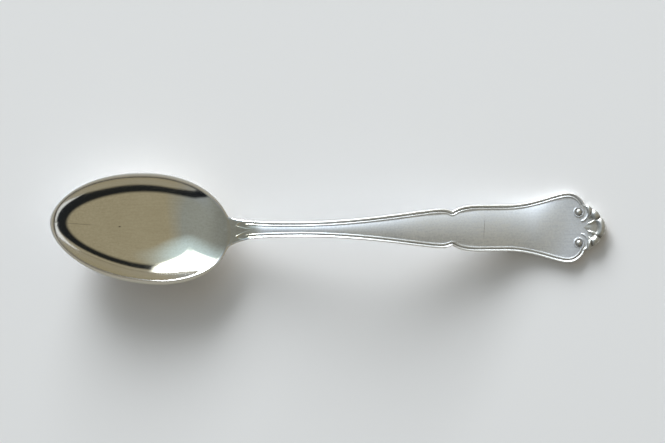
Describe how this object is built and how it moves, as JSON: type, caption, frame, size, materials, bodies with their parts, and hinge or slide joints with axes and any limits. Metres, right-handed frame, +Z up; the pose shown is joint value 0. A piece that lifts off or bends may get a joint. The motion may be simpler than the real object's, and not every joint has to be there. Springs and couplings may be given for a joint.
{
  "type": "coffee spoon",
  "caption": "Small silver coffee spoon with an egg-shaped bowl, an arched handle edged with raised threads and notched at its shoulders, and a fluted scallop shell at its end.",
  "frame": {"origin": "middle of the spoon's box in plan, on the table that it lies on", "axes": "+X along the handle from the bowl to the shell, +Z up out of the bowl, +Y to the right of a user who holds the handle"},
  "size_m": [0.12, 0.0242, 0.0096],
  "materials": {
    "bowl_silver": "polished silver with fine scratches",
    "handle_silver": "silver worn to a soft satin, with fine scratches and tarnish in the grooves",
    "ornament_silver": "bright silver relief with tarnish in the hollows"
  },
  "bodies": {
    "root": {"bowl": "bowl_silver", "handle": "handle_silver", "shell_finial": "ornament_silver", "left_scroll_bead": "ornament_silver", "right_scroll_bead": "ornament_silver"}
  },
  "joints": []
}
